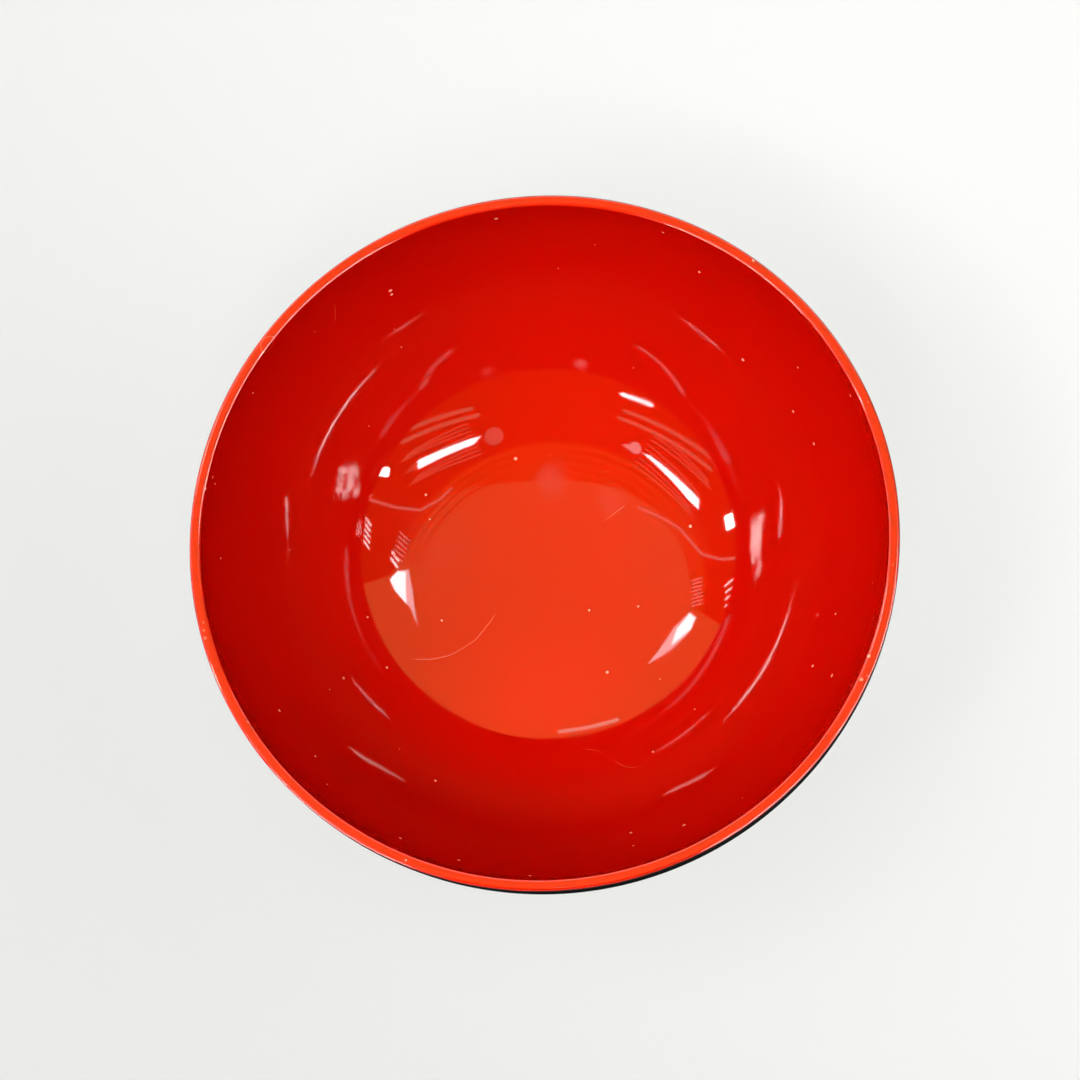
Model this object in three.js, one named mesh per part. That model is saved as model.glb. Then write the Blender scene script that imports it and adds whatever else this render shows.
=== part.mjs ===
// Lacquered rice bowl: a turned wooden core with its foot ring, red lacquer inside and over the
// lip, black lacquer outside, and a last black coat under the foot.
// Millimetres, +Z up. The origin is the centre of the ring that the bowl rests on.
// Every sub-part is a body of revolution about Z: a closed profile of (radius, height) points.
// The core's surface is the bowl's own surface, inset by the thickness of a coat, and each coat
// fills the space between the two, so core and coats meet face to face.

import * as THREE from 'three';

// ---- driving dimensions ----
const RIM_DIAMETER = 120; // across the outside of the lip
const LIP_WIDTH = 1.85; // from the inside to the outside of the lip
const LIP_CROWN = 0.5; // height of the lip's rounded top
const BOWL_DEPTH = 54.5; // inside, from the foot of the lip's crown to the floor
const FLOOR_THICKNESS = 4.8; // at the middle of the floor
const RECESS_DEPTH = 5.2; // of the hollow under the floor, inside the foot ring
const FOOT_DIAMETER = 54; // of the foot ring, where it is widest
const FOOT_WIDTH = 3.8; // of the foot ring, from its outside to its inside
const COAT = 0.35; // thickness of each lacquer coat

// ---- smaller choices of shape ----
const RED_LAP = 0.5; // how far the red comes down the outside, below the lip's crown
const FOOT_TAPER = 0.8; // how much smaller the foot's radius is at its top
const FOOT_FILLET = 3; // size of the round between the foot and the wall
const FOOT_EDGE = 0.8; // radius of the foot's bottom edges
const FOOT_LAP = 1.6; // height at which the last coat ends on the outside of the foot
const RECESS_FILLET = 1.6; // radius between the foot ring and the recess's ceiling

// ---- fineness of the faceted solids ----
const TURNS = 48; // facets round the axis
const WALL_STEPS = 11; // along a wall
const LIP_STEPS = 6; // over the lip's crown
const ROUND_STEPS = 3; // along a small round

// ---- sizes worked out from the driving dimensions ----
const RIM_RADIUS = RIM_DIAMETER / 2;
const FLOOR_HEIGHT = RECESS_DEPTH + FLOOR_THICKNESS;
const CROWN_BASE = FLOOR_HEIGHT + BOWL_DEPTH;
const FOOT_RADIUS = FOOT_DIAMETER / 2;
const FOOT_INNER_RADIUS = FOOT_RADIUS - FOOT_WIDTH;
const QUARTER = Math.PI / 2;

// A wall is a quarter of an ellipse: angle 0 is the middle of the floor, a quarter turn the rim.
const innerWall = {
  radius: RIM_RADIUS - LIP_WIDTH,
  floor: FLOOR_HEIGHT,
  depth: BOWL_DEPTH,
};
const outerWall = {
  radius: RIM_RADIUS,
  floor: RECESS_DEPTH,
  depth: BOWL_DEPTH + FLOOR_THICKNESS,
};

// The wall's normal, away from the axis and down.
function wallNormal(wall, angle) {
  const outward = Math.sin(angle) / wall.radius;
  const down = -Math.cos(angle) / wall.depth;
  return new THREE.Vector2(outward, down).normalize();
}

// A point on the wall, moved along the normal by the offset.
function wallPoint(wall, angle, offset) {
  const radius = wall.radius * Math.sin(angle);
  const height = wall.floor + wall.depth * (1 - Math.cos(angle));
  return new THREE.Vector2(radius, height).addScaledVector(wallNormal(wall, angle), offset);
}

function wallAngleAtRadius(wall, radius) {
  return Math.asin(radius / wall.radius);
}

function wallAngleAtHeight(wall, height) {
  return Math.acos(1 - (height - wall.floor) / wall.depth);
}

// Points along a wall from one angle to another, both ends included.
function wallPoints(wall, from, to, steps, offset) {
  const points = [];
  for (let i = 0; i <= steps; i += 1) {
    points.push(wallPoint(wall, from + ((to - from) * i) / steps, offset));
  }
  return points;
}

// Points on a round or elliptical arc about a centre, both ends included.
function arcPoints(x, y, xRadius, yRadius, from, to, steps) {
  const clockwise = to < from;
  return new THREE.EllipseCurve(x, y, xRadius, yRadius, from, to, clockwise).getPoints(steps);
}

// The corner where the outer wall would meet the side of the foot, without its fillet.
const cornerAngle = wallAngleAtRadius(outerWall, FOOT_RADIUS - FOOT_TAPER);
const corner = wallPoint(outerWall, cornerAngle, 0);
const filletAngle = wallAngleAtRadius(outerWall, corner.x + FOOT_FILLET);
const redLapAngle = wallAngleAtHeight(outerWall, CROWN_BASE - RED_LAP);

function footSideRadius(height) {
  return FOOT_RADIUS - (FOOT_TAPER * (height - FOOT_EDGE)) / (corner.y - FOOT_EDGE);
}

// ---- the stretches of the bowl's surface, inset into the bowl by a given depth ----

// From the middle of the floor, up the inside and over the lip, down to where the red ends.
function redSurface(inset) {
  const lipMiddle = RIM_RADIUS - LIP_WIDTH / 2;
  const crownRadius = LIP_WIDTH / 2 - inset;
  const crownHeight = LIP_CROWN - inset;
  const inside = wallPoints(innerWall, 0, QUARTER, WALL_STEPS, inset);
  const crown = arcPoints(lipMiddle, CROWN_BASE, crownRadius, crownHeight, Math.PI, 0, LIP_STEPS);
  const lap = wallPoint(outerWall, redLapAngle, -inset);
  return [...inside, ...crown.slice(1), lap];
}

// From where the red ends, down the outside and the foot, to where the foot's coat ends.
function blackSurface(inset) {
  const wall = wallPoints(outerWall, redLapAngle, filletAngle, WALL_STEPS, -inset);
  const normal = wallNormal(outerWall, cornerAngle);
  const insetCorner = new THREE.Vector2(
    corner.x - inset,
    corner.y - (inset * (1 - normal.x)) / normal.y,
  );
  const filletEnd = new THREE.Vector2(
    footSideRadius(corner.y - FOOT_FILLET) - inset,
    corner.y - FOOT_FILLET,
  );
  const fillet = new THREE.QuadraticBezierCurve(wall[WALL_STEPS], insetCorner, filletEnd);
  const lap = new THREE.Vector2(footSideRadius(FOOT_LAP) - inset, FOOT_LAP);
  return [...wall, ...fillet.getPoints(ROUND_STEPS).slice(1), lap];
}

// From where the foot's coat ends, round the resting face, to the middle of the recess.
function footSurface(inset) {
  const lap = new THREE.Vector2(footSideRadius(FOOT_LAP) - inset, FOOT_LAP);
  const edge = FOOT_EDGE - inset;
  const outerX = FOOT_RADIUS - FOOT_EDGE;
  const innerX = FOOT_INNER_RADIUS + FOOT_EDGE;
  const filletX = FOOT_INNER_RADIUS - RECESS_FILLET;
  const filletY = RECESS_DEPTH - RECESS_FILLET;
  const filletRadius = RECESS_FILLET + inset;
  return [
    lap,
    ...arcPoints(outerX, FOOT_EDGE, edge, edge, 0, -QUARTER, ROUND_STEPS),
    ...arcPoints(innerX, FOOT_EDGE, edge, edge, -QUARTER, -Math.PI, ROUND_STEPS),
    ...arcPoints(filletX, filletY, filletRadius, filletRadius, 0, QUARTER, ROUND_STEPS),
    new THREE.Vector2(0, RECESS_DEPTH + inset),
  ];
}

// ---- the sub-parts ----

// The profiles run clockwise as drawn with the radius to the right, so the lathe takes them
// in reverse for its faces to point out.
function turned(name, profile, material) {
  const mesh = new THREE.Mesh(new THREE.LatheGeometry(profile.toReversed(), TURNS), material);
  mesh.name = name;
  return mesh;
}

// A coat lies between the bowl's surface and the same stretch inset by the coat's thickness.
// Its profile comes back to its first point, unless it starts on the axis.
function coatProfile(surface) {
  const outline = [...surface(0), ...surface(COAT).reverse()];
  return outline[0].x === 0 ? outline : [...outline, outline[0].clone()];
}

function woodenCore() {
  const wood = new THREE.MeshStandardMaterial({ color: 0xb88a58, roughness: 0.75, metalness: 0 });
  const profile = [
    ...redSurface(COAT),
    ...blackSurface(COAT).slice(1),
    ...footSurface(COAT).slice(1),
  ];
  return turned('wooden_core', profile, wood);
}

function redLacquer() {
  const red = new THREE.MeshStandardMaterial({ color: 0xc8200a, roughness: 0.08, metalness: 0 });
  return turned('red_inner_lacquer', coatProfile(redSurface), red);
}

function blackLacquer() {
  const black = new THREE.MeshStandardMaterial({ color: 0x100c0b, roughness: 0.1, metalness: 0 });
  return turned('black_outer_lacquer', coatProfile(blackSurface), black);
}

function footLacquer() {
  const black = new THREE.MeshStandardMaterial({ color: 0x14100f, roughness: 0.2, metalness: 0 });
  return turned('black_foot_lacquer', coatProfile(footSurface), black);
}

const bowl = new THREE.Group();
bowl.rotation.x = QUARTER; // the lathe turns about Y, and the bowl stands along Z
bowl.add(woodenCore(), redLacquer(), blackLacquer(), footLacquer());

export default bowl;
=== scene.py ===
"""The looks of the lacquered rice bowl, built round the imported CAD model.

Metres, +Z up, the same frame as the CAD. The wooden core is the CAD node itself. The three coats of
lacquer are turned again here on the same curves, much finer, with the waviness of brushed lacquer.
"""

import math
from collections import namedtuple

import bmesh
import bpy
from mathutils import Matrix, Vector, noise


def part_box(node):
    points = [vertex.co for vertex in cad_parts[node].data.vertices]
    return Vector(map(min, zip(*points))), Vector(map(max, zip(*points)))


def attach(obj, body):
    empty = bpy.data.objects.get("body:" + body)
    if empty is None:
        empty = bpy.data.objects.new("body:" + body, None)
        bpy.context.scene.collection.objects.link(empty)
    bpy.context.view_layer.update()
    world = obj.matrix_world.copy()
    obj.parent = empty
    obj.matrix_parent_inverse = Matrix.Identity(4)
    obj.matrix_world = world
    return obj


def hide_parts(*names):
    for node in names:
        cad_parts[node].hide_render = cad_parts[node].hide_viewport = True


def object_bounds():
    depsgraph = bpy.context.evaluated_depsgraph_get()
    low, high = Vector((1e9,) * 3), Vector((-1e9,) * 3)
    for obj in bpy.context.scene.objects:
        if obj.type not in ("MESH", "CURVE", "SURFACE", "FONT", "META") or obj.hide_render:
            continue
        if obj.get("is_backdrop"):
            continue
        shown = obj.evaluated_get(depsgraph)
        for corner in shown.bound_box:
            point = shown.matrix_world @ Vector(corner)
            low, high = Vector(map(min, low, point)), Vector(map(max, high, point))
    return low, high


MM = 0.001
QUARTER = math.pi / 2

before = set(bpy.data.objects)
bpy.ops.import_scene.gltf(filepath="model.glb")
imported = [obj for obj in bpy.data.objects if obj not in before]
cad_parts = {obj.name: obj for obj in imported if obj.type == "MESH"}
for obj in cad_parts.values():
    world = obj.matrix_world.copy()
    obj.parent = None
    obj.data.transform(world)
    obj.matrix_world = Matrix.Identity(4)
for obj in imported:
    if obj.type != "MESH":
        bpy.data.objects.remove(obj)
CAD_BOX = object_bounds()

# ---- the bowl's sizes: the small ones as in the CAD model, the large ones read from it ----
LIP_WIDTH = 1.85 * MM
LIP_CROWN = 0.5 * MM
FLOOR_THICKNESS = 4.8 * MM
COAT = 0.35 * MM
RED_LAP = 0.5 * MM
FOOT_TAPER = 0.8 * MM
FOOT_FILLET = 3 * MM
FOOT_EDGE = 0.8 * MM
FOOT_LAP = 1.6 * MM
FOOT_WIDTH = 3.8 * MM
RECESS_FILLET = 1.6 * MM

RIM_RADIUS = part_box("red_inner_lacquer")[1].x
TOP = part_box("red_inner_lacquer")[1].z
FLOOR_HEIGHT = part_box("red_inner_lacquer")[0].z + COAT
FOOT_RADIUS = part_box("black_foot_lacquer")[1].x
CROWN_BASE = TOP - LIP_CROWN
RECESS_DEPTH = FLOOR_HEIGHT - FLOOR_THICKNESS
FOOT_INNER_RADIUS = FOOT_RADIUS - FOOT_WIDTH

# ---- fineness of the turned coats ----
TURNS = 480
WALL_STEPS = 110
BACK_STEPS = 24  # along the hidden back of a coat
LIP_STEPS = 14
ROUND_STEPS = 8
ON_AXIS = 1e-6  # a point nearer to Z than this is on it
MIDDLE_SHARE = 1e-4  # how far out a round sheet starts, so that its middle isn't a single point

# ---- the view ----
VIEW_TILT = math.radians(13.5)  # the camera leans this far from straight above
VIEW_AZIMUTH = math.radians(21)  # towards this side of the bowl
VIEW_DISTANCE = 0.7
LENS = 138.6
SENSOR_WIDTH = 36
SHIFT = (-0.0021, -0.0029)  # moves the bowl a little within the frame
PAINTED_SHADOW_MIDDLE = (8 * MM, 13 * MM, 0)  # middle of the painted shadow round the bowl, where the floor's glow is painted dimmer
SWEEP_FADE = 0.19  # painted light: the backdrop's glow grows paler over twice this far, from corner to corner

# ---- how far off each layer of the mirrored room stands; a nearer one hides the others ----
SIDES = 5.6
SHADES = 5.65
FRONT = 5.7
LAMPS = 5.8
LINES = 5.9
TRIMS = 5.95
CEILING = 6.0
BAND = 6.2
FAR_WALL = 6.4
NEAR_WALL = 6.6


# ---------------------------------------------------------------- outlines of the coats

# A wall is a quarter of an ellipse: angle 0 is the middle of the floor, a quarter turn the rim.
Wall = namedtuple("Wall", "radius floor depth")
INNER_WALL = Wall(RIM_RADIUS - LIP_WIDTH, FLOOR_HEIGHT, CROWN_BASE - FLOOR_HEIGHT)
OUTER_WALL = Wall(RIM_RADIUS, RECESS_DEPTH, CROWN_BASE - RECESS_DEPTH)


def wall_normal(wall, angle):
    return Vector((math.sin(angle) / wall.radius, -math.cos(angle) / wall.depth)).normalized()


def wall_point(wall, angle, offset):
    radius = wall.radius * math.sin(angle)
    height = wall.floor + wall.depth * (1 - math.cos(angle))
    return Vector((radius, height)) + wall_normal(wall, angle) * offset


def wall_angle_at_radius(wall, radius):
    return math.asin(radius / wall.radius)


def wall_angle_at_height(wall, height):
    return math.acos(1 - (height - wall.floor) / wall.depth)


def between(start, end, steps):
    """Evenly spaced numbers from start to end, both included."""
    return [start + (end - start) * i / steps for i in range(steps + 1)]


def wall_points(wall, start, end, steps, offset):
    return [wall_point(wall, angle, offset) for angle in between(start, end, steps)]


def arc_points(centre, x_radius, y_radius, start, end, steps):
    return [
        Vector((centre[0] + x_radius * math.cos(a), centre[1] + y_radius * math.sin(a)))
        for a in between(start, end, steps)
    ]


def bend_points(start, corner, end, steps):
    """A quadratic curve that leaves start towards the corner and arrives at end from it."""
    return [
        start * (1 - t) ** 2 + corner * 2 * t * (1 - t) + end * t**2 for t in between(0, 1, steps)
    ]


CORNER_ANGLE = wall_angle_at_radius(OUTER_WALL, FOOT_RADIUS - FOOT_TAPER)
CORNER = wall_point(OUTER_WALL, CORNER_ANGLE, 0)
FILLET_ANGLE = wall_angle_at_radius(OUTER_WALL, CORNER.x + FOOT_FILLET)
LAP_HEIGHT = CROWN_BASE - RED_LAP
LAP_ANGLE = wall_angle_at_height(OUTER_WALL, LAP_HEIGHT)


def foot_side_radius(height):
    return FOOT_RADIUS - FOOT_TAPER * (height - FOOT_EDGE) / (CORNER.y - FOOT_EDGE)


def red_surface(inset, wall_steps):
    """From the middle of the floor, up the inside and over the lip, down to where the red ends."""
    lip_middle = (RIM_RADIUS - LIP_WIDTH / 2, CROWN_BASE)
    crown = (LIP_WIDTH / 2 - inset, LIP_CROWN - inset)
    inside = wall_points(INNER_WALL, 0, QUARTER, wall_steps, inset)
    over = arc_points(lip_middle, *crown, math.pi, 0, LIP_STEPS)
    lap = wall_points(OUTER_WALL, QUARTER, LAP_ANGLE, 3, -inset)
    return inside + over[1:] + lap[1:]


def black_surface(inset, wall_steps):
    """From where the red ends, down the outside and the foot, to where the foot's coat ends."""
    wall = wall_points(OUTER_WALL, LAP_ANGLE, FILLET_ANGLE, wall_steps, -inset)
    normal = wall_normal(OUTER_WALL, CORNER_ANGLE)
    corner = Vector((CORNER.x - inset, CORNER.y - inset * (1 - normal.x) / normal.y))
    end_height = CORNER.y - FOOT_FILLET
    end = Vector((foot_side_radius(end_height) - inset, end_height))
    side = [
        Vector((foot_side_radius(height) - inset, height))
        for height in between(end_height, FOOT_LAP, ROUND_STEPS)
    ]
    return wall + bend_points(wall[-1], corner, end, ROUND_STEPS)[1:] + side[1:]


def foot_surface(inset, wall_steps):
    """From where the foot's coat ends, round the resting face, to the middle of the recess."""
    edge = FOOT_EDGE - inset
    outer = (FOOT_RADIUS - FOOT_EDGE, FOOT_EDGE)
    inner = (FOOT_INNER_RADIUS + FOOT_EDGE, FOOT_EDGE)
    fillet = (FOOT_INNER_RADIUS - RECESS_FILLET, RECESS_DEPTH - RECESS_FILLET)
    round_in = RECESS_FILLET + inset
    ceiling = [
        Vector((radius, RECESS_DEPTH + inset)) for radius in between(fillet[0], 0, wall_steps)
    ]
    return [
        Vector((foot_side_radius(FOOT_LAP) - inset, FOOT_LAP)),
        *arc_points(outer, edge, edge, 0, -QUARTER, ROUND_STEPS),
        *arc_points(inner, edge, edge, -QUARTER, -math.pi, ROUND_STEPS),
        *arc_points(fillet, round_in, round_in, 0, QUARTER, ROUND_STEPS),
        *ceiling[1:],
    ]


def coat_outline(surface):
    """Out along the face that shows, back along the face that lies on the wood."""
    return surface(0, WALL_STEPS) + surface(COAT, BACK_STEPS)[::-1]


# ---------------------------------------------------------------- meshes

def turned(name, outline, relief):
    """A closed skin turned round Z from an outline that starts and ends on the axis or beside
    its own start, with its points moved along their normals by relief(point)."""
    mesh = bmesh.new()
    rings = [ring_of(mesh, point) for point in outline]
    joins = list(zip(rings, rings[1:]))
    if len(rings[0]) > 1 and len(rings[-1]) > 1:
        joins.append((rings[-1], rings[0]))
    for lower, upper in joins:
        join_rings(mesh, lower, upper)
    bmesh.ops.recalc_face_normals(mesh, faces=mesh.faces)
    mesh.normal_update()
    for vertex in mesh.verts:
        vertex.co += vertex.normal * relief(vertex.co)
    data = bpy.data.meshes.new(name)
    mesh.to_mesh(data)
    mesh.free()
    data.shade_smooth()
    piece = bpy.data.objects.new(name, data)
    bpy.context.scene.collection.objects.link(piece)
    return piece


def ring_of(mesh, point):
    if point.x < ON_AXIS:
        return [mesh.verts.new((0, 0, point.y))]
    turns = [2 * math.pi * i / TURNS for i in range(TURNS)]
    return [
        mesh.verts.new((point.x * math.cos(a), point.x * math.sin(a), point.y)) for a in turns
    ]


def join_rings(mesh, first, second):
    for i in range(TURNS):
        j = (i + 1) % TURNS
        corners = [
            first[i % len(first)],
            first[j % len(first)],
            second[j % len(second)],
            second[i % len(second)],
        ]
        distinct = list(dict.fromkeys(corners))
        if len(distinct) > 2:
            mesh.faces.new(distinct)


def brushed_waves(point):
    """The long, shallow waves of lacquer that was brushed on and left to level."""
    broad = noise.noise(point * 70)
    round_the_bowl = noise.noise(Vector((point.z * 260, point.length * 260, 4)))
    return 0.012 * MM * broad + 0.004 * MM * round_the_bowl


def lip_waves(point):
    """The red's end wanders up and down the outside a little, as a brush leaves it."""
    angle = math.atan2(point.y, point.x)
    way = Vector((math.cos(angle), math.sin(angle), 0))
    return 0.1 * MM * noise.noise(way * 4) + 0.05 * MM * noise.noise(way * 17)


def wander_lap(piece):
    """Moves the edge where red meets black, with what lies close to it."""
    for vertex in piece.data.vertices:
        outside = math.hypot(vertex.co.x, vertex.co.y) > RIM_RADIUS - 1.2 * COAT
        closeness = 1 - abs(vertex.co.z - LAP_HEIGHT) / (RED_LAP * 0.9)
        if outside and closeness > 0:
            vertex.co.z += lip_waves(vertex.co) * min(1, 2 * closeness)


# ---------------------------------------------------------------- material nodes

class Nodes:
    """A node tree with short ways to add the few kinds of node that the materials use."""

    def __init__(self, tree):
        self.tree = tree
        self.tree.nodes.clear()

    def add(self, kind, inputs=(), **settings):
        node = self.tree.nodes.new(kind)
        for key, value in settings.items():
            setattr(node, key, value)
        for key, value in dict(inputs).items():
            self.plug(value, node.inputs[key])
        return node

    def plug(self, value, socket):
        if isinstance(value, bpy.types.NodeSocket):
            self.tree.links.new(value, socket)
        else:
            socket.default_value = value

    def place(self):
        return self.add("ShaderNodeTexCoord").outputs["Object"]

    def split(self, vector):
        return self.add("ShaderNodeSeparateXYZ", {"Vector": vector}).outputs

    def stretch(self, vector, scale):
        node = self.add("ShaderNodeMapping", {"Vector": vector, "Scale": scale})
        return node.outputs["Vector"]

    def math(self, operation, *values):
        return self.add("ShaderNodeMath", enumerate(values), operation=operation).outputs[0]

    def noise(self, vector, scale, detail=2.0, distortion=0.0):
        inputs = {"Vector": vector, "Scale": scale, "Detail": detail, "Distortion": distortion}
        return self.add("ShaderNodeTexNoise", inputs).outputs["Fac"]

    def cells(self, vector, scale):
        return self.add("ShaderNodeTexVoronoi", {"Vector": vector, "Scale": scale}).outputs

    def ramp(self, value, low, high, to_low=0.0, to_high=1.0):
        inputs = {
            "Value": value,
            "From Min": low,
            "From Max": high,
            "To Min": to_low,
            "To Max": to_high,
        }
        node = self.add("ShaderNodeMapRange", inputs, interpolation_type="SMOOTHSTEP")
        return node.outputs["Result"]

    def blend(self, factor, a, b):
        node = self.add("ShaderNodeMix", data_type="RGBA")
        for value, socket in ((factor, node.inputs[0]), (a, node.inputs[6]), (b, node.inputs[7])):
            self.plug(value, socket)
        return node.outputs[2]

    def bump(self, height, distance, under=None):
        inputs = {"Height": height, "Distance": distance}
        if under is not None:
            inputs["Normal"] = under
        return self.add("ShaderNodeBump", inputs).outputs["Normal"]


def new_material(name):
    material = bpy.data.materials.new(name)
    material.use_nodes = True
    return material, Nodes(material.node_tree)


def finish_surface(nodes, **inputs):
    """The lacquer or wood itself. The names are the shader's own, with _ for each space."""
    named = {key.replace("_", " "): value for key, value in inputs.items()}
    shader = nodes.add("ShaderNodeBsdfPrincipled", named)
    nodes.add("ShaderNodeOutputMaterial", {"Surface": shader.outputs["BSDF"]})


def specks(nodes, place, spacing, size, share):
    """Small round specks: a share of the cells of this spacing hold one, up to this size."""
    cell = nodes.cells(place, 1 / spacing)
    pick = nodes.split(cell["Color"])
    chosen = nodes.math("LESS_THAN", pick[0], share)
    reach = nodes.math("MULTIPLY", pick[1], size / spacing)
    inside = nodes.math("LESS_THAN", cell["Distance"], reach)
    return nodes.math("MULTIPLY", chosen, inside)


def hairlines(nodes, place, scale, width, patch_scale, patch_from):
    """Fine curved scratches: where a smooth noise crosses its middle. They show only in patches,
    where a second noise is above patch_from."""
    field = nodes.noise(place, scale, detail=1.0, distortion=0.6)
    off_line = nodes.math("ABSOLUTE", nodes.math("SUBTRACT", field, 0.5))
    line = nodes.ramp(off_line, width, 0)
    in_patch = nodes.ramp(nodes.noise(place, patch_scale), patch_from, patch_from + 0.05)
    return nodes.math("MULTIPLY", line, in_patch)


def curved_scratch(nodes, place, circle_centre, radius, scratch_centre, reach):
    """One long scratch: the part of a circle, seen from above, that lies within reach of the
    scratch's own centre. It wanders a little to both sides of the circle."""
    wander_width = 1.2 * MM
    x, y, _ = nodes.split(place)
    flat = nodes.add("ShaderNodeCombineXYZ", {"X": x, "Y": y}).outputs[0]

    def away_from(point):
        inputs = {0: flat, 1: (*point, 0)}
        return nodes.add("ShaderNodeVectorMath", inputs, operation="DISTANCE").outputs["Value"]

    wander = nodes.math("MULTIPLY", nodes.noise(flat, 180), wander_width)
    ring = nodes.math("SUBTRACT", away_from(circle_centre), radius - wander_width / 2)
    off_line = nodes.math("ABSOLUTE", nodes.math("SUBTRACT", ring, wander))
    line = nodes.ramp(off_line, 0.12 * MM, 0.03 * MM)
    within = nodes.ramp(away_from(scratch_centre), reach, reach * 0.8)
    return nodes.math("MULTIPLY", line, within)


def red_lacquer():
    material, nodes = new_material("red_lacquer")
    place = nodes.place()
    broad = nodes.noise(place, 35, detail=3.0)
    color = nodes.blend(broad, (0.48, 0.0022, 0.0002, 1), (0.53, 0.0030, 0.0003, 1))
    height = nodes.split(place)[2]
    # The lip is painted lighter and more orange: partly real wear that thins the lacquer, partly a
    # painted highlight where the upturned lip catches the light.
    lip_wear_and_painted_highlight = nodes.ramp(height, CROWN_BASE - 0.05 * MM, CROWN_BASE + 0.15 * MM)
    color = nodes.blend(lip_wear_and_painted_highlight, color, (0.71, 0.010, 0.0010, 1))
    dust = specks(nodes, place, spacing=3.2 * MM, size=0.35 * MM, share=0.35)
    fine = hairlines(nodes, place, scale=26, width=0.0012, patch_scale=42, patch_from=0.64)
    long_one = curved_scratch(
        nodes,
        place,
        circle_centre=(-27 * MM, 3 * MM),
        radius=14.8 * MM,
        scratch_centre=(-18.5 * MM, -9.2 * MM),
        reach=9.5 * MM,
    )
    scratch = nodes.math("MAXIMUM", fine, long_one)
    color = nodes.blend(nodes.math("MULTIPLY", scratch, 0.22), color, (0.9, 0.30, 0.2, 1))
    color = nodes.blend(nodes.math("MULTIPLY", dust, 0.7), color, (0.95, 0.55, 0.42, 1))
    chipped = nodes.math("MULTIPLY", lip_wear_and_painted_highlight, nodes.ramp(nodes.noise(place, 30), 0.5, 0.6))
    chips = specks(nodes, place, spacing=1.3 * MM, size=0.34 * MM, share=0.4)
    chips = nodes.math("MULTIPLY", chips, chipped)
    color = nodes.blend(nodes.math("MULTIPLY", chips, 0.6), color, (0.95, 0.45, 0.32, 1))
    wear = nodes.ramp(nodes.noise(place, 90, detail=4.0), 0.45, 0.75)
    roughness = nodes.math("MULTIPLY_ADD", wear, 0.03, 0.035)
    handled = nodes.ramp(height, FLOOR_HEIGHT + 20 * MM, TOP, 0, 0.03)
    roughness = nodes.math("ADD", roughness, handled)
    roughness = nodes.math("ADD", roughness, nodes.math("MULTIPLY", dust, 0.5))
    pull = nodes.noise(place, 420, detail=2.0)
    normal = nodes.bump(pull, 0.0012 * MM)
    normal = nodes.bump(nodes.math("SUBTRACT", dust, scratch), 0.02 * MM, under=normal)
    finish_surface(nodes, Base_Color=color, Roughness=roughness, IOR=1.5, Normal=normal)
    return material


def black_lacquer():
    material, nodes = new_material("black_lacquer")
    place = nodes.place()
    broad = nodes.noise(place, 60, detail=3.0)
    color = nodes.blend(broad, (0.004, 0.003, 0.003, 1), (0.009, 0.006, 0.005, 1))
    dust = specks(nodes, place, spacing=6 * MM, size=0.3 * MM, share=0.3)
    color = nodes.blend(nodes.math("MULTIPLY", dust, 0.5), color, (0.25, 0.2, 0.17, 1))
    scratch = hairlines(nodes, place, scale=26, width=0.0012, patch_scale=40, patch_from=0.60)
    rings = nodes.noise(nodes.stretch(place, (1, 1, 26)), 40, detail=2.0)
    wear = nodes.ramp(nodes.noise(place, 90, detail=4.0), 0.4, 0.8)
    roughness = nodes.math("MULTIPLY_ADD", wear, 0.07, 0.07)
    normal = nodes.bump(rings, 0.004 * MM)
    normal = nodes.bump(nodes.math("SUBTRACT", dust, scratch), 0.02 * MM, under=normal)
    finish_surface(nodes, Base_Color=color, Roughness=roughness, IOR=1.5, Normal=normal)
    return material


def foot_lacquer():
    material, nodes = new_material("foot_lacquer")
    place = nodes.place()
    height = nodes.split(place)[2]
    mottle = nodes.noise(place, 220, detail=4.0)
    low = nodes.ramp(height, 0.5 * MM, 0)
    worn = nodes.math("MULTIPLY", low, nodes.ramp(mottle, 0.42, 0.6))
    color = nodes.blend(mottle, (0.007, 0.005, 0.005, 1), (0.016, 0.011, 0.010, 1))
    color = nodes.blend(worn, color, (0.09, 0.045, 0.025, 1))
    roughness = nodes.math("MULTIPLY_ADD", worn, 0.3, 0.22)
    scratch = hairlines(nodes, place, scale=90, width=0.004, patch_scale=60, patch_from=0.5)
    normal = nodes.bump(nodes.math("SUBTRACT", mottle, scratch), 0.02 * MM)
    finish_surface(nodes, Base_Color=color, Roughness=roughness, IOR=1.5, Normal=normal)
    return material


def core_wood():
    material, nodes = new_material("core_wood")
    place = nodes.place()
    grain = nodes.noise(nodes.stretch(place, (1, 12, 12)), 60, detail=6.0, distortion=0.4)
    color = nodes.blend(grain, (0.24, 0.12, 0.05, 1), (0.52, 0.32, 0.16, 1))
    pores = nodes.noise(nodes.stretch(place, (1, 20, 20)), 160, detail=2.0)
    roughness = nodes.ramp(pores, 0.3, 0.7, 0.55, 0.8)
    normal = nodes.bump(pores, 0.05 * MM)
    finish_surface(nodes, Base_Color=color, Roughness=roughness, Normal=normal)
    return material


# ---------------------------------------------------------------- the pieces

def add_coat(name, surface, node, material):
    coat = turned(name, coat_outline(surface), brushed_waves)
    coat.data.materials.append(material)
    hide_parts(node)
    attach(coat, "root")
    return coat


def add_pieces():
    red = add_coat("red_coat", red_surface, "red_inner_lacquer", red_lacquer())
    black = add_coat(
        "black_coat", black_surface, "black_outer_lacquer", black_lacquer()
    )
    add_coat(
        "foot_coat", foot_surface, "black_foot_lacquer", foot_lacquer()
    )
    wander_lap(red)
    wander_lap(black)
    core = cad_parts["wooden_core"]
    core.data.materials.clear()
    core.data.materials.append(core_wood())


# ---------------------------------------------------------------- the studio

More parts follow.
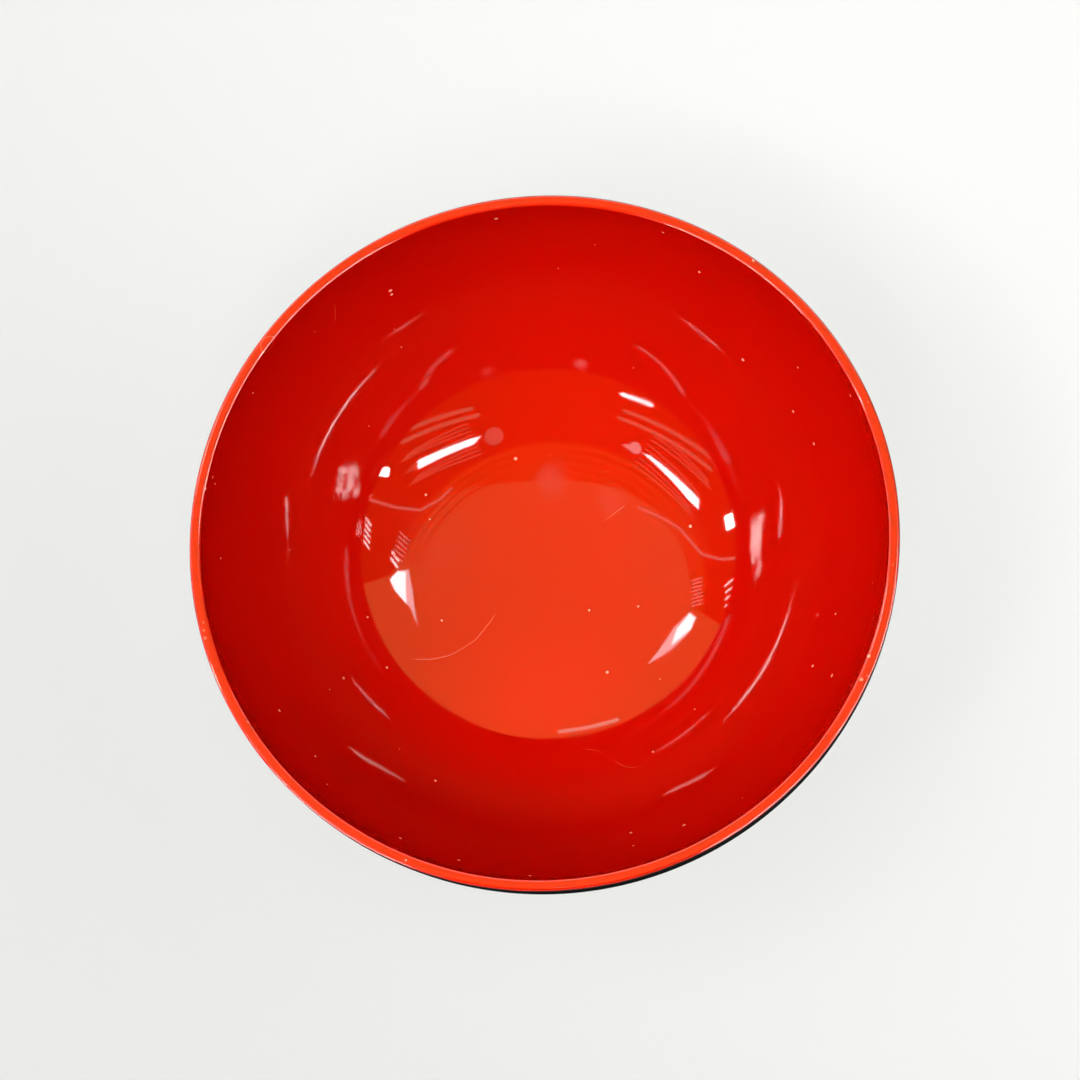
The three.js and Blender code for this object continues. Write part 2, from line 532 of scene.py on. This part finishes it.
def stage_mesh(name, points, faces, material):
    """Something that stands round the bowl and isn't part of it."""
    mesh = bpy.data.meshes.new(name)
    mesh.from_pydata([tuple(point) for point in points], [], faces)
    mesh.materials.append(material)
    mesh.shade_smooth()
    thing = bpy.data.objects.new(name, mesh)
    bpy.context.scene.collection.objects.link(thing)
    thing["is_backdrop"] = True
    return thing


def grid(name, rows, columns, place_of, material):
    """A curved sheet: place_of(u, v) gives its points, for u and v from 0 to 1."""
    points = [place_of(i / rows, j / columns) for i in range(rows + 1) for j in range(columns + 1)]
    faces = []
    for i in range(rows):
        for j in range(columns):
            corner = i * (columns + 1) + j
            faces.append((corner, corner + 1, corner + columns + 2, corner + columns + 1))
    return stage_mesh(name, points, faces, material)


def pale_sweep():
    """The floor, which curves up far away into a backdrop. It glows a little, as a light table does,
    so the bowl's shadow on it stays faint. Its glow is painted paler towards one corner, as painted
    light, and dimmer close to the bowl, as a painted shadow. It is clear from below, so that the
    underside of the bowl can be seen."""
    material, nodes = new_material("pale_sweep")
    place = nodes.place()
    x, y, _ = nodes.split(place)
    # Painted light: the glow is paler towards one corner, as if that side were lit more.
    across = nodes.math("MULTIPLY", x, 1.15)
    along = nodes.ramp(nodes.math("ADD", across, y), -SWEEP_FADE, SWEEP_FADE)
    color = nodes.blend(along, (0.76, 0.76, 0.745, 1), (0.95, 0.96, 0.93, 1))
    # Painted shadow: the glow is dimmer close to the bowl.
    inputs = {0: place, 1: PAINTED_SHADOW_MIDDLE}
    away = nodes.add("ShaderNodeVectorMath", inputs, operation="DISTANCE").outputs["Value"]
    strength = nodes.ramp(away, RIM_RADIUS, RIM_RADIUS * 1.5, 0.865, 0.915)
    glow = nodes.add("ShaderNodeEmission", {"Color": color, "Strength": strength})
    matt = nodes.add("ShaderNodeBsdfDiffuse", {"Color": (0.10, 0.10, 0.10, 1)})
    both = nodes.add("ShaderNodeAddShader", {0: glow.outputs[0], 1: matt.outputs[0]}).outputs[0]
    from_above = nodes.add("ShaderNodeNewGeometry").outputs["Backfacing"]
    clear = nodes.add("ShaderNodeBsdfTransparent").outputs[0]
    floor = nodes.add("ShaderNodeMixShader", {0: from_above, 1: clear, 2: both}).outputs[0]
    nodes.add("ShaderNodeOutputMaterial", {"Surface": floor})

    def place_of(u, v):
        flat, bend, drop = 1.6, 1.8, 0.1 * MM
        a = 2 * math.pi * v
        rise = max(0, u * 2 - 1) * QUARTER
        radius = flat * min(1, u * 2) + bend * math.sin(rise)
        height = bend * (1 - math.cos(rise)) - drop
        return Vector((radius * math.cos(a), radius * math.sin(a), height))

    sweep = grid("sweep", 48, 96, place_of, material)
    sweep.visible_diffuse = False
    sweep.visible_glossy = False


def soft_world():
    """What the gloss sees below the horizon: a pale table, with painted shade straight down, right
    under the bowl.
    """
    world = bpy.data.worlds.new("soft_room")
    bpy.context.scene.world = world
    world.use_nodes = True
    nodes = Nodes(world.node_tree)
    height = nodes.split(nodes.add("ShaderNodeTexCoord").outputs["Generated"])[2]
    # Painted shade: the table is dark straight down, as if in the bowl's shadow.
    pale = nodes.ramp(height, -0.92, -0.6)
    color = nodes.blend(pale, (0.012, 0.011, 0.011, 1), (0.62, 0.62, 0.60, 1))
    sky = nodes.add("ShaderNodeBackground", {"Color": color, "Strength": 1.0})
    nodes.add("ShaderNodeOutputWorld", {"Surface": sky.outputs[0]})
    world.cycles_visibility.diffuse = False


def area_light(name, at, size, power, color):
    data = bpy.data.lights.new(name, "AREA")
    data.shape = "DISK"
    data.size = size
    data.energy = power
    data.color = color
    light = bpy.data.objects.new(name, data)
    light.location = at
    to_mouth = Vector((0, 0, TOP)) - light.location
    light.rotation_euler = to_mouth.to_track_quat("-Z", "Y").to_euler()
    light.visible_camera = False
    light.visible_glossy = False
    bpy.context.scene.collection.objects.link(light)


def glowing(name, color, strength, only_after=None, longer_than=0.0, shorter_than=10.0):
    """A plain glow. It can be clear except to what has been mirrored just this many times, and
    whose last way, from the bowl to the glow, lies between these lengths."""
    material, nodes = new_material(name)
    glow = nodes.add("ShaderNodeEmission", {"Color": (*color, 1), "Strength": strength}).outputs[0]
    if only_after is not None:
        path = nodes.add("ShaderNodeLightPath").outputs
        shown = nodes.math("COMPARE", path["Glossy Depth"], only_after)
        for test in (
            nodes.math("COMPARE", path["Diffuse Depth"], 0),
            nodes.math("GREATER_THAN", path["Ray Length"], longer_than),
            nodes.math("LESS_THAN", path["Ray Length"], shorter_than),
        ):
            shown = nodes.math("MULTIPLY", shown, test)
        clear = nodes.add("ShaderNodeBsdfTransparent").outputs[0]
        glow = nodes.add("ShaderNodeMixShader", {0: shown, 1: clear, 2: glow}).outputs[0]
    nodes.add("ShaderNodeOutputMaterial", {"Surface": glow})
    return material


def only_in_gloss(thing):
    thing.visible_camera = False
    thing.visible_diffuse = False
    thing.visible_shadow = False
    thing.visible_transmission = False


# What the lacquer mirrors stands on a dome. Its places are on a flat map of the sky, in degrees
# from overhead: x towards +X and y towards +Y. Widths and radii are in degrees too.
def toward(x, y):
    zenith = math.radians(math.hypot(x, y))
    azimuth = math.atan2(y, x)
    level = math.sin(zenith)
    return Vector((level * math.cos(azimuth), level * math.sin(azimuth), math.cos(zenith)))


def sector(name, start, end, low, high, distance, material):
    """Part of the dome between two azimuths and two zenith angles, in degrees."""

    def place_of(u, v):
        zenith = low + (high - low) * u
        azimuth = math.radians(start + (end - start) * v)
        return toward(zenith * math.cos(azimuth), zenith * math.sin(azimuth)) * distance

    only_in_gloss(grid(name, 16, 64, place_of, material))


def cap(name, x, y, half_angle, distance, material):
    """A round part of the dome about a direction."""
    turn = Vector((0, 0, 1)).rotation_difference(toward(x, y))

    def place_of(u, v):
        a = 2 * math.pi * v
        reach = half_angle * max(u, MIDDLE_SHARE)
        return turn @ toward(reach * math.cos(a), reach * math.sin(a)) * distance

    only_in_gloss(grid(name, 24, 96, place_of, material))


def patch(name, middle, outline, distance, material):
    """A curved part of the dome inside an outline of places, drawn out from a middle place."""
    corners = [Vector(corner) for corner in outline + outline[:1]]

    def place_of(u, v):
        side = min(int(v * len(outline)), len(outline) - 1)
        edge = corners[side].lerp(corners[side + 1], v * len(outline) - side)
        return toward(*Vector(middle).lerp(edge, max(u, MIDDLE_SHARE))) * distance

    only_in_gloss(grid(name, 24, 8 * len(outline), place_of, material))


def card(name, corners, distance, material):
    """A flat card whose corners are at these places of the sky map."""
    points = [toward(*corner) * distance for corner in corners]
    only_in_gloss(stage_mesh(name, points, [tuple(range(len(points)))], material))


def strip(name, start, end, width, distance, material, taper=0.02):
    """A straight strip from one place of the sky map to another, this many degrees wide, which
    comes to a point over this share of its length at each end."""
    first = toward(*start) * distance
    last = toward(*end) * distance
    half = (last - first).cross(first + last).normalized() * distance * math.radians(width) / 2
    near = first.lerp(last, taper)
    far = last.lerp(first, taper)
    points = [first, near + half, far + half, last, far - half, near - half]
    only_in_gloss(stage_mesh(name, points, [tuple(range(6))], material))


def ribbon(name, places, width, distance, material):
    """A narrow band that follows a line of places."""
    for i, (start, end) in enumerate(zip(places, places[1:])):
        strip(f"{name}_{i}", start, end, width, distance, material)


def arc(name, middle, radius, start, end, width, distance, material):
    """A narrow round band about a place, from one azimuth to another."""

    def place_of(u, v):
        reach = radius + width * (u - 0.5)
        azimuth = math.radians(start + (end - start) * v)
        return toward(
            middle[0] + reach * math.cos(azimuth), middle[1] + reach * math.sin(azimuth)
        ) * distance

    only_in_gloss(grid(name, 1, 48, place_of, material))


def slats(name, first, step, reach, count, width, material):
    """Daylight between the slats of a blind: short strips side by side."""
    for i in range(count):
        start = Vector(first) + Vector(step) * i
        strip(f"{name}_{i}", start, start + Vector(reach), width, LAMPS, material, taper=0.2)


def room_surfaces():
    """The walls, and in front of them the ceiling, which shows as the pale disc on the floor."""
    far_wall = glowing("far_wall_glow", (1.0, 0.50, 0.14), 1.7)
    near_wall = glowing("near_wall_glow", (1.0, 0.14, 0.01), 1.5)
    near_band = glowing("near_band_glow", (1.0, 0.19, 0.01), 2.7)
    ceiling_color = (1.0, 0.42, 0.10)
    ceiling = glowing("ceiling_glow", ceiling_color, 2.6)
    sector("far_wall", 12, 156, 20, 90, FAR_WALL, far_wall)
    sector("near_wall", 156, 372, 20, 90, NEAR_WALL, near_wall)
    cap("near_band", 0, 9, 50, BAND, near_band)
    edge = [
        (-62, 30), (-46, 17), (-43, -4), (-40, -12), (-33, -18), (-23, -24), (-12, -27), (3, -28),
        (17, -27), (29, -25), (37, -21), (41, -15), (46, -6), (54, 7), (65, 13), (60, 42),
        (30, 64), (-15, 68), (-50, 50),
    ]
    patch("ceiling", (2, 12), edge, CEILING, ceiling)
    # The ceiling grows redder towards a place on the far side.
    for i in range(5):
        redder = glowing(f"redder_glow_{i}", (3.25 + 0.65 * i, 1.09, 0.26), 1)
        cap(f"redder_{i}", 5, 50, 34 - 6 * i, CEILING - 0.01 * (i + 1), redder)
    # Mirrored twice, in the upper wall, the ceiling is hidden by these dimmer cards: painted shade
    # that darkens it away from its middle.
    for i, strength in enumerate((2.1, 1.6, 1.1, 0.6, 0.6, 0.6)):
        longest = SHADES - 15 * MM
        shade = glowing(f"shade_glow_{i}", ceiling_color, strength, 2, shorter_than=longest)
        start = 10 + 6 * i
        sector(f"shade_{i}", 0, 360, start, start + 6, SHADES, shade)
    pale_trim = glowing("pale_trim_glow", (1.0, 0.27, 0.04), 2.8)
    dark_trim = glowing("dark_trim_glow", (1.0, 0.15, 0.01), 2.2)
    for i in range(4):
        arc(f"pale_trim_{i}", (0, 14), 45 + 2.7 * i, -165, -15, 0.4, TRIMS, pale_trim)
        arc(f"dark_trim_{i}", (0, 14), 46.2 + 2.7 * i, -165, -15, 0.6, TRIMS, dark_trim)


def room_lamps():
    """The lamps, the patches of daylight on the disc, and what only the lip and the outside
    mirror, low in the room."""
    lamp = glowing("lamp_glow", (1, 1, 1), 26)
    right = [(24.5, -43), (27, -40), (46.5, -30.5), (47, -33.5), (44.5, -35)]
    left = [(-31.5, -35.5), (-34, -34.5), (-50, -18.5), (-49.5, -15), (-46, -18.5)]
    card("lamp_right", right, LAMPS, lamp)
    card("lamp_left", left, LAMPS, lamp)
    strip("short_lamp", (-38, -51.5), (-25.5, -57), 1.4, LAMPS, lamp, taper=0.1)
    glint = glowing("glint_glow", (1, 0.96, 0.94), 9)
    core = glowing("glint_core_glow", (1, 1, 1), 24)
    right = [(43, 23), (46, 17), (52, 12), (54, 8.5), (51.5, 5), (47.5, 4), (45.5, 11)]
    left = [(-30.5, 34), (-38, 30), (-45, 24.5), (-47, 20.5), (-44.5, 18), (-39, 22.5)]
    card("glint_right", right, LAMPS, glint)
    card("glint_left", left, LAMPS, glint)
    right = [(47.5, 16), (52, 12), (54, 8.5), (51.5, 5), (48.5, 5)]
    left = [(-38, 28.5), (-45, 24), (-46.5, 20.5), (-44.5, 18.5), (-40, 23)]
    card("glint_right_core", right, FRONT, core)
    card("glint_left_core", left, FRONT, core)
    spot = glowing("spot_glow", (1, 0.98, 0.95), 120)
    card("spot_right", [(57.5, -27), (61, -27), (61, -30), (57.5, -30)], FRONT, spot)
    card("spot_left", [(-59.5, -6.5), (-63, -7.5), (-62.5, -12), (-59, -11)], FRONT, spot)
    globe = glowing("globe_glow", (1.0, 0.9, 0.6), 1.6)
    bright_globe = glowing("bright_globe_glow", (1.0, 0.9, 0.85), 5)
    cap("globe_right", 20, -43, 3, FRONT, globe)
    cap("globe_left", -29, -37.5, 2, FRONT, bright_globe)
    strip("globe_stem", (-30, -36.5), (-24.5, -39), 1.6, FRONT, bright_globe, taper=0.3)
    low_window = glowing("low_window_glow", (1, 0.97, 0.93), 50)
    sector("low_window_right", -62, 4, 72, 79, LAMPS, low_window)
    sector("low_window_left", -152, -120, 72, 79, LAMPS, low_window)
    low_far_wall = glowing("low_far_wall_glow", (1.0, 0.86, 0.78), 6)
    sector("low_far_wall", 40, 205, 67, 84, LINES, low_far_wall)
    skirting = glowing("skirting_glow", (0.8, 0.78, 0.76), 0.8)
    sector("skirting", 0, 360, 81, 92, TRIMS, skirting)


def room_lines():
    """Beams, rails, blinds and cords."""
    beam = glowing("beam_glow", (1.0, 0.9, 0.5), 2.0)
    for i in range(2):
        out = 2.4 * i
        right = [(25 + out, -50.5 - out), (54 + out, -39.5 - out)]
        left = [(-56.5 - out, -27 - out), (-23.5 - out, -48.5 - out)]
        strip(f"beam_right_{i}", *right, 1.3, LINES, beam)
        strip(f"beam_left_{i}", *left, 1.3, LINES, beam)
    rail = glowing("rail_glow", (1.0, 0.62, 0.35), 3.4)
    for i in range(9):
        out = 1.3 * i - 6
        short = 1.5 * (i % 3)
        right = [(27 + out / 2, -43 - out), (52 + out / 2 - short, -31 - out)]
        left = [(-53 - out + short, -19 - out), (-33 - out, -38 - out)]
        strip(f"rail_right_{i}", *right, 0.3, LINES, rail)
        strip(f"rail_left_{i}", *left, 0.3, LINES, rail)
    far_line = glowing("far_line_glow", (1.0, 0.9, 0.7), 5.5)
    ribbon("far_line", [(-22.5, 53), (-10, 56), (-3.5, 57)], 1.3, LAMPS, far_line)
    daylight = glowing("daylight_glow", (1, 0.95, 0.9), 18)
    slats("outer_left", (-61, 10), (0, 2.3), (4, 2), 6, 0.5, daylight)
    slats("outer_right", (65, -11.5), (0, 2), (-3, 3), 5, 0.5, daylight)
    dim_daylight = glowing("dim_daylight_glow", (1, 0.85, 0.7), 5)
    slats("inner_left", (-49.5, 7.5), (0, 1.2), (4.5, 0.5), 8, 0.35, dim_daylight)
    slats("inner_right", (52, -8.5), (0.4, 1.5), (-4.5, 3), 6, 0.4, dim_daylight)
    slats("inner_right_low", (54, -1.5), (0.3, 2.2), (-3, 3.5), 2, 0.8, daylight)
    cord = glowing("cord_glow", (1, 0.8, 0.6), 3)
    left = [(-63, 3.5), (-56, 2.5), (-49.5, 0), (-46, -4.5), (-42, -10), (-36, -14), (-28, -18)]
    right = [(64.5, -18), (54, -16.5), (45, -16.5), (38.5, -20.5), (34, -25)]
    ribbon("cord_left", left, 0.8, LAMPS, cord)
    ribbon("cord_right", right, 0.8, LAMPS, cord)


def torn_window(name, corner, across, down, material):
    """A window whose panes end at different heights."""
    for i, length in enumerate((0.9, 1.25, 1.0, 1.4)):
        start = Vector(corner) + Vector(across) * i / 4
        side = Vector(across) / 4
        end = Vector(down) * length
        card(f"{name}_{i}", [start, start + side, start + side + end, start + end], SIDES, material)


def side_lamps():
    """Lamps that show only in the wall, where what is mirrored has been mirrored before. Most
    show only to light that crosses the bowl on its way out, which has further to go."""
    left_window = glowing("left_window_glow", (1, 0.97, 0.95), 230, 2, longer_than=SIDES - 25 * MM)
    right_window = glowing("right_window_glow", (1, 0.97, 0.95), 230, 2, longer_than=SIDES - 14 * MM)
    torn_window("window_left", (-28, -1.5), (-17, 8), (-7.5, -3.2), left_window)
    torn_window("window_right", (44.5, -11), (-13.5, 0.5), (2, -6), right_window)
    pale = glowing("side_glow", (1, 0.9, 0.85), 40, 2, longer_than=SIDES - 40 * MM)
    ribbon("side_glow_left", [(-32, 33), (-20, 26), (-13, 25)], 2.2, SIDES, pale)
    ribbon("side_glow_right", [(21, 20), (28, 21), (40, 23)], 2.2, SIDES, pale)
    strip("side_glow_far", (20, 61), (19, 54), 3.5, SIDES, pale)
    strip("side_glow_far_left", (-20, 61), (-18, 56), 3, SIDES, pale, taper=0.3)
    bright = glowing("side_lamp_glow", (1, 1, 1), 260, only_after=2)
    strip("side_lamp_left", (-5, -10), (-3, -4.5), 1.4, SIDES, bright, taper=0.3)
    strip("side_lamp_low", (-4.5, -20), (-2.5, -22.5), 0.5, SIDES, bright, taper=0.3)
    strip("side_lamp_right", (11, -11.5), (19, -13.5), 0.3, SIDES, bright, taper=0.4)
    strip("side_lamp_near", (7.5, -17.5), (9, -17.5), 0.3, SIDES, bright, taper=0.4)


def mirrored_room():
    room_surfaces()
    room_lamps()
    room_lines()
    side_lamps()


def lights():
    soft_world()
    warm = (1, 0.99, 0.97)
    area_light("left_softbox", (-0.6, -0.06, 0.8), 0.5, 5.5, warm)
    area_light("right_softbox", (0.6, -0.06, 0.8), 0.5, 3.8, warm)
    area_light("near_lamp", (0, -0.52, 1.0), 0.15, 3.7, warm)
    area_light("corner_lamp", (-0.36, -0.38, 1.0), 0.18, 4.1, warm)
    mirrored_room()


def camera():
    data = bpy.data.cameras.new("camera")
    data.lens = LENS
    data.sensor_width = SENSOR_WIDTH
    data.clip_start = 0.01
    data.clip_end = 100
    data.shift_x, data.shift_y = SHIFT
    turn = (
        Matrix.Rotation(VIEW_AZIMUTH, 4, "Z")
        @ Matrix.Rotation(VIEW_TILT, 4, "X")
        @ Matrix.Rotation(-VIEW_AZIMUTH, 4, "Z")
    )
    rim_centre = Vector((0, 0, CROWN_BASE))
    away = turn @ Vector((0, 0, VIEW_DISTANCE))
    thing = bpy.data.objects.new("camera", data)
    thing.matrix_world = Matrix.Translation(rim_centre + away) @ turn
    bpy.context.scene.collection.objects.link(thing)
    bpy.context.scene.camera = thing


add_pieces()
pale_sweep()
lights()
camera()
bpy.context.scene.view_settings.view_transform = "Standard"

sizes = {"cad": CAD_BOX, "visual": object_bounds()}
{key: [list(corner) for corner in box] for key, box in sizes.items()}
